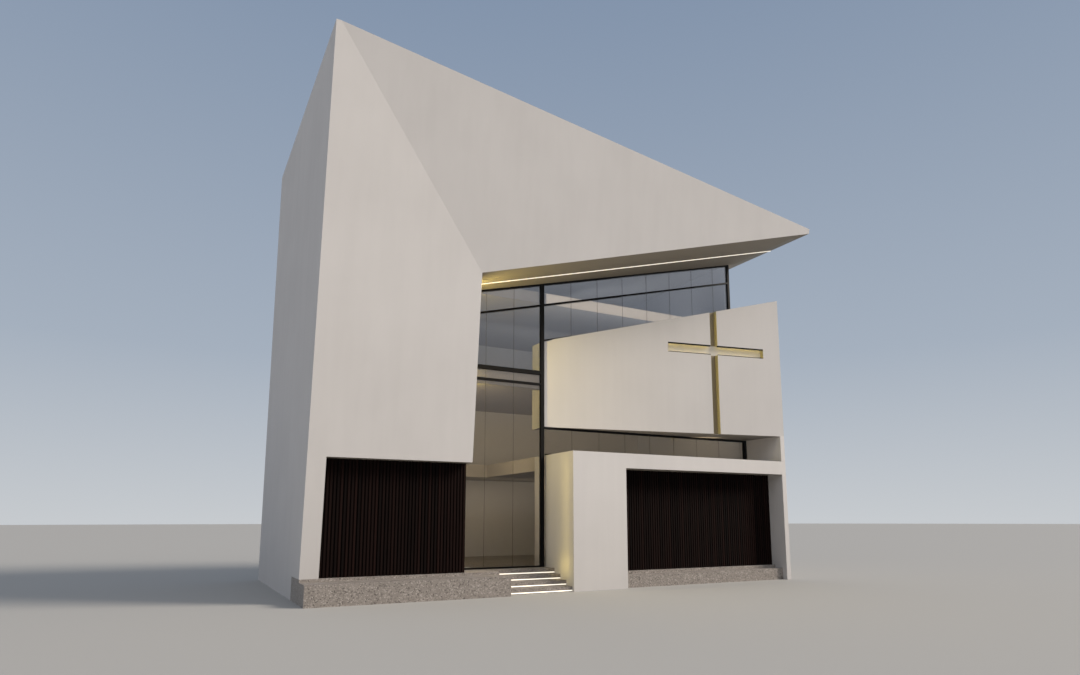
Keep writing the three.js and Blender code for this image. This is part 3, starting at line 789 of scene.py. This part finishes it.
class CHURCH_OT_screen_screws(Church, bpy.types.Operator):
    """Makes the screws that fix the battens of both screens"""

    bl_idname = "church.screen_screws"
    bl_label = "Screen screws"

    def execute(self, context):
        head = context.scene.church_sizes.screw_head
        proud, inset = 0.002, 0.12
        rows = []
        for screen in ("left_screen", "right_screen"):
            low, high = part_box(screen)
            width, rise = high.x - low.x, high.z - low.z
            count = int(width / BATTEN_PITCH)
            first_x = low.x + (width - count * BATTEN_PITCH) / 2 + BATTEN_PITCH / 2
            for height in (low.z + inset, low.z + rise / 3, low.z + 2 * rise / 3, high.z - inset):
                rows.append((count, (first_x, low.y, height), (BATTEN_PITCH, 0.0, 0.0),
                             (head, 2 * proud, head), 0.0))
        row_piece("screen_screws", screw_rows(), rows, "frame")
        return {"FINISHED"}


class CHURCH_OT_roof_trims(Church, bpy.types.Operator):
    """Makes the welded laps of the roof and the folded trims along its edges"""

    bl_idname = "church.roof_trims"
    bl_label = "Roof trims"

    def execute(self, context):
        sizes = context.scene.church_sizes
        roof, slab = roof_line(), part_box("roof_slab")
        facade, left_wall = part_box("upper_facade"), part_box("left_wall")
        edge, first_lap, front_gap, behind_apex = 0.12, 1.0, 0.002, 0.55
        over = shifted(roof, sizes.trim)
        laps = []
        y = BUILDING_LINE + first_lap
        while y < slab[1].y - edge - sizes.seam_width:
            laps.append(((slab[0].x + edge, slab[1].x - edge), y, y + sizes.seam_width, roof, over))
            y += sizes.seam_pitch
        bars_piece("roof_laps", laps, "lap", "roofing")

        apex_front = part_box("front_wall")[0].y
        front = line_through(facade[0].x, apex_front, facade[1].x, CAD_LOW.y)
        sloping = (slab[0].x, slab[1].x)
        bars_piece("roof_edge_trims", [
            (sloping, shifted(front, front_gap), shifted(front, edge), roof, over),
            (sloping, slab[1].y - edge, slab[1].y, roof, over),
            ((slab[1].x - edge, slab[1].x), shifted(front, edge), slab[1].y - edge, roof, over),
            ((left_wall[0].x, left_wall[1].x), apex_front + behind_apex, left_wall[1].y,
             CAD_HIGH.z, CAD_HIGH.z + sizes.trim)], "trim", "render")
        return {"FINISHED"}


class CHURCH_OT_wall_trims(Church, bpy.types.Operator):
    """Makes the cappings of the low walls, the panel's joint filler and the drip beads"""

    bl_idname = "church.wall_trims"
    bl_label = "Wall trims"

    def execute(self, context):
        trim = context.scene.church_sizes.trim
        panel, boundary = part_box("cross_panel"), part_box("boundary_wall")
        portal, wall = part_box("portal_beam"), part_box("front_wall")
        face, top = panel_lines()
        back, over = shifted(face, PANEL_DEPTH), shifted(top, trim)
        boundary_gap, portal_thickness = 0.05, 0.25
        bars_piece("wall_cappings", [
            ((panel[0].x, CROSS_UPRIGHT[0]), face, back, top, over),
            (CROSS_UPRIGHT, shifted(face, CROSS_RECESS), back, top, over),
            ((CROSS_UPRIGHT[1], panel[1].x), face, back, top, over),
            ((boundary[0].x, boundary[1].x), panel[0].y + PANEL_DEPTH + boundary_gap,
             boundary[1].y, boundary[1].z, boundary[1].z + trim),
            ((portal[0].x, portal[1].x), portal[0].y, portal[0].y + portal_thickness,
             portal[1].z, portal[1].z + trim)], "trim", "render")

        # The solids leave a wedge-shaped slot between the back of the slanted panel and
        # the square boundary wall. This piece closes it, and is a guess
        thin_end, under_capping = 0.01, 0.002
        bars_piece("panel_joint_filler", [(
            (boundary[0].x + thin_end, boundary[1].x), back, face(boundary[0].x) + PANEL_DEPTH,
            panel[0].z, shifted(top, -under_capping))], "render")

        bead_width, bead_depth, set_back = 0.012, 0.005, 0.03
        left_pier, portal_pier = 0.5, 2.03
        # The front wall leans out by this much for each metre up
        foot_set_back, lean = 0.610, 0.0963
        wall_front = BUILDING_LINE + foot_set_back - lean * wall[0].z
        overhangs = (
            ((wall[0].x + left_pier, wall[1].x), wall_front, wall[0].z),
            ((portal[0].x + portal_pier, portal[1].x), portal[0].y, portal[0].z),
            ((panel[0].x, panel[1].x), face, panel[0].z),
        )
        bars_piece("drip_beads", [
            (along, shifted(front, set_back), shifted(front, set_back + bead_width),
             under - bead_depth, under) for along, front, under in overhangs], "trim", "render")
        return {"FINISHED"}


class CHURCH_OT_porch_light(Church, bpy.types.Operator):
    """Makes the upright light line on the porch's left wall, which warms the panel and portal"""

    bl_idname = "church.porch_light"
    bl_label = "Porch light"

    def execute(self, context):
        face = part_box("return_wall_upper")[1].x
        behind_line, foot, top = 0.85, 0.8, 9.1
        y = BUILDING_LINE + behind_line
        housing, half_housing = 0.018, 0.022
        strip, half_strip, sunk, end_gap = 0.024, 0.014, 0.004, 0.01
        bars_piece("porch_light_housing", [(
            (face, face + housing), y - half_housing, y + half_housing, foot, top)], "frame")
        bars_piece("porch_light_strip", [(
            (face + housing - sunk, face + strip), y - half_strip, y + half_strip,
            foot + end_gap, top - end_gap)], "porch_light", "light_line")

        # Each lamp: name, place, way it faces, width and height, power in watts
        glow = context.scene.church_colours.glow
        stand_off, lamp_width = 0.06, 0.08
        stretches = (
            ("upper_porch_lamp", 7.5, 9.4, 88.0),
            ("middle_porch_lamp", 5.2, 7.5, 26.0),
            ("lower_porch_lamp", foot, 5.2, 8.0),
        )
        lamps = [(name, (face + stand_off, y, (low + high) / 2), (1, 0, 0),
                  (lamp_width, high - low), power) for name, low, high, power in stretches]
        side_wall, wall_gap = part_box("portal_side_wall")[0], 0.4
        near_wall = side_wall.x - wall_gap
        lamps += [
            ("portal_wash_lamp", (near_wall, side_wall.y + 0.2, 2.3), (1, 0, 0), (0.1, 3.8), 3.0),
            ("portal_foot_lamp", (near_wall, side_wall.y + 0.3, 0.75), (1, 0, -0.1), (0.5, 0.4),
             1.0),
        ]
        for lamp in lamps:
            add_lamp(*lamp, glow)
        return {"FINISHED"}


class CHURCH_OT_hall_lights(Church, bpy.types.Operator):
    """Makes the soft lamps in the hall, which light its rear wall, bands and run-in walls"""

    bl_idname = "church.hall_lights"
    bl_label = "Hall lights"

    def execute(self, context):
        warm, neutral, cool = linear("#FFEBCB"), linear("#FFF6EA"), linear("#DCE5F4")
        glow = context.scene.church_colours.glow
        glass_gap, band_gap = 0.5, 0.02
        behind_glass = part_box("main_mullion")[1].y + glass_gap
        # The bands are the front edges of the inner floors, close behind the glass
        before_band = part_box("upper_beam")[0].y - band_gap
        # Each lamp: name, place, way it faces, width and height, power in watts, colour
        lamps = (
            ("hall_lamp", (-4.6, behind_glass, 4.3), (0, 1, 0.05), (5.0, 2.0), 152.0, warm),
            ("side_hall_lamp", (4.4, behind_glass, 5.4), (0.5, 1, 0.1), (5.0, 1.0), 54.0, warm),
            ("low_hall_lamp", (1.5, 3.2, 3.6), (0, 1, -0.2), (5.0, 0.3), 9.0, warm),
            ("gallery_room_lamp", (1.6, 1.6, 8.4), (0, 1, 0.05), (6.0, 1.2), 27.0, cool),
            ("gallery_ceiling_lamp", (4.0, behind_glass, 8.6), (0, 0, 1), (9.0, 0.6), 34.0,
             cool),
            ("upper_room_lamp", (4.9, 0.6, 10.4), (0, 0.3, 1), (6.0, 2.0), 18.0, cool),
            ("upper_band_lamp", (3.9, before_band, 9.95), (0, 1, 0), (9.0, 0.4), 12.0, neutral),
            ("left_band_lamp", (-2.2, before_band, 9.95), (0, 1, 0), (2.6, 0.4), 0.7, neutral),
            ("gallery_band_lamp", (-2.4, before_band, 6.93), (0, 1, 0), (3.1, 0.5), 1.3, warm),
            ("run_in_lamp", (-3.6, -1.45, 7.0), (1, 0, 0), (0.2, 3.4), 66.0, glow),
            ("low_run_in_lamp", (-1.3, -1.65, 2.6), (1, 0, 0), (0.2, 3.4), 4.5, warm),
        )
        for lamp in lamps:
            add_lamp(*lamp)
        return {"FINISHED"}


class CHURCH_OT_stage(Church, bpy.types.Operator):
    """Makes the floor, the studio light, the backdrop and the camera"""

    bl_idname = "church.stage"
    bl_label = "Stage"

    def execute(self, context):
        settings = context.scene.church_stage
        self.make_floor(context, settings)
        self.make_backdrop(context, settings)
        self.make_key(context, settings)
        self.make_camera(context, settings)
        context.scene.view_settings.view_transform = "Standard"
        for part in frame["record"]["subparts"]:
            node, slot = part["node"], part["material_slot"]
            overhead = slot in UNMIRRORED or node in ("ceiling", "soffit_light")
            if overhead and node != "rear_wall":
                frame["nodes"][node].visible_glossy = False
        return {"FINISHED"}

    def make_floor(self, context, settings):
        """A plain round floor that reaches the horizon."""
        mesh = bmesh.new()
        bmesh.ops.create_circle(mesh, cap_ends=True, segments=96, radius=400.0)
        data = bpy.data.meshes.new("studio_floor")
        mesh.to_mesh(data)
        mesh.free()
        floor = bpy.data.objects.new("studio_floor", data)
        context.scene.collection.objects.link(floor)
        material, _ = start_material(
            "plain_pale_floor", Roughness=0.9, Base_Color=rgba(settings.floor))
        data.materials.append(material)
        floor.visible_glossy = False

    def make_backdrop(self, context, settings):
        """A soft backdrop, pale all round; the glass mirrors a dimmer street side."""
        world = bpy.data.worlds.new("studio_backdrop")
        context.scene.world = world
        world.use_nodes = True
        tree = world.node_tree
        way = add_node(tree, "ShaderNodeTexCoord").outputs["Generated"]
        parts = add_node(tree, "ShaderNodeSeparateXYZ", {"Vector": way}).outputs
        rear = add_node(tree, "ShaderNodeValToRGB", {"Fac": parts["Z"]}, stops=[
            (0.0, linear("#C6CACE")), (0.22, linear("#A5B0BE")),
            (0.7, linear("#7D8FA8"))]).outputs["Color"]
        front = add_node(tree, "ShaderNodeValToRGB", {"Fac": parts["Z"]}, stops=[
            (0.0, linear("#33312D")), (0.02, linear("#5B5853")),
            (0.12, linear("#6C6B69")), (0.2, linear("#8F929A")),
            (0.28, linear("#BFC5D1")), (0.38, linear("#F2F5FC")),
            (1.0, linear("#C4C7CD"))]).outputs["Color"]
        side = add_node(tree, "ShaderNodeMapRange", {
            "Value": parts["Y"], "From Min": 0.35, "From Max": -0.35}).outputs["Result"]
        light = add_node(tree, "ShaderNodeMix", {0: side, 6: rear, 7: front},
                         data_type="RGBA").outputs[2]
        ray = add_node(tree, "ShaderNodeLightPath").outputs
        tone = add_node(tree, "ShaderNodeMix", {0: ray["Is Camera Ray"], 6: light, 7: rear},
                        data_type="RGBA").outputs[2]
        strength = add_node(tree, "ShaderNodeMapRange", {
            "Value": ray["Is Glossy Ray"], "To Min": settings.ambient,
            "To Max": settings.ambient * settings.mirrored}).outputs["Result"]
        shader = tree.nodes["Background"]
        tree.links.new(tone, shader.inputs["Color"])
        tree.links.new(strength, shader.inputs["Strength"])

    def make_key(self, context, settings):
        """One broad soft light from the front right."""
        key = bpy.data.lights.new("key_light", "SUN")
        key.energy = settings.key
        softness = 22.0
        key.angle = math.radians(softness)
        key.color = linear("#FFF4E6")
        holder = bpy.data.objects.new("key_light", key)
        context.scene.collection.objects.link(holder)
        azimuth, elevation = math.radians(57.0), math.radians(34.0)
        towards = Vector((math.sin(azimuth) * math.cos(elevation),
                          -math.cos(azimuth) * math.cos(elevation), math.sin(elevation)))
        holder.rotation_mode = "QUATERNION"
        holder.rotation_quaternion = towards.to_track_quat("Z", "Y")

    def make_camera(self, context, settings):
        """The camera stands across the street at eye height and looks up to the right."""
        camera = bpy.data.cameras.new("street_camera")
        camera.sensor_width = 36.0
        camera.lens = settings.lens
        camera.shift_x = settings.shift_x
        camera.shift_y = settings.shift_y
        camera.clip_end = 1000.0
        holder = bpy.data.objects.new("street_camera", camera)
        context.scene.collection.objects.link(holder)
        right = Vector((0.8793, -0.4759, -0.0004))
        up = Vector((-0.0702, -0.1321, 0.9887))
        back = Vector((-0.4710, -0.8696, -0.1502))
        turn = Matrix((right, up, back)).transposed().to_4x4()
        across_the_street = (-11.93, -22.937, 2.2)
        holder.matrix_world = Matrix.Translation(across_the_street) @ turn
        context.scene.camera = holder


OPERATORS = (
    CHURCH_OT_stage, CHURCH_OT_finishes, CHURCH_OT_step_lights, CHURCH_OT_cross,
    CHURCH_OT_glass_joints, CHURCH_OT_screen_screws, CHURCH_OT_roof_trims,
    CHURCH_OT_wall_trims, CHURCH_OT_porch_light, CHURCH_OT_hall_lights,
)


class CHURCH_PT_pieces(bpy.types.Panel):
    """Lists what this file makes, in the order it is made"""

    bl_label = "Church"
    bl_idname = "CHURCH_PT_pieces"
    bl_space_type = "VIEW_3D"
    bl_region_type = "UI"
    bl_category = "Church"

    def draw(self, context):
        for operator in OPERATORS:
            self.layout.operator(operator.bl_idname)
        for group in ("church_colours", "church_sizes", "church_stage"):
            settings = getattr(context.scene, group)
            box = self.layout.box()
            for name in settings.bl_rna.properties.keys():
                if name not in ("rna_type", "name"):
                    box.prop(settings, name)


GROUPS = {
    "church_colours": ChurchColours,
    "church_sizes": ChurchSizes,
    "church_stage": ChurchStage,
}


def register():
    for name, group in GROUPS.items():
        bpy.utils.register_class(group)
        setattr(bpy.types.Scene, name, PointerProperty(type=group))
    for operator in OPERATORS:
        bpy.utils.register_class(operator)
    bpy.utils.register_class(CHURCH_PT_pieces)


def unregister():
    bpy.utils.unregister_class(CHURCH_PT_pieces)
    for operator in reversed(OPERATORS):
        bpy.utils.unregister_class(operator)
    for name, group in reversed(GROUPS.items()):
        delattr(bpy.types.Scene, name)
        bpy.utils.unregister_class(group)


def main():
    """Makes everything in order."""
    register()
    bpy.ops.church.stage()
    bpy.ops.church.finishes()
    bpy.ops.church.step_lights()
    bpy.ops.church.cross()
    bpy.ops.church.glass_joints()
    bpy.ops.church.screen_screws()
    bpy.ops.church.roof_trims()
    bpy.ops.church.wall_trims()
    bpy.ops.church.porch_light()
    bpy.ops.church.hall_lights()


if __name__ == "__main__":
    main()
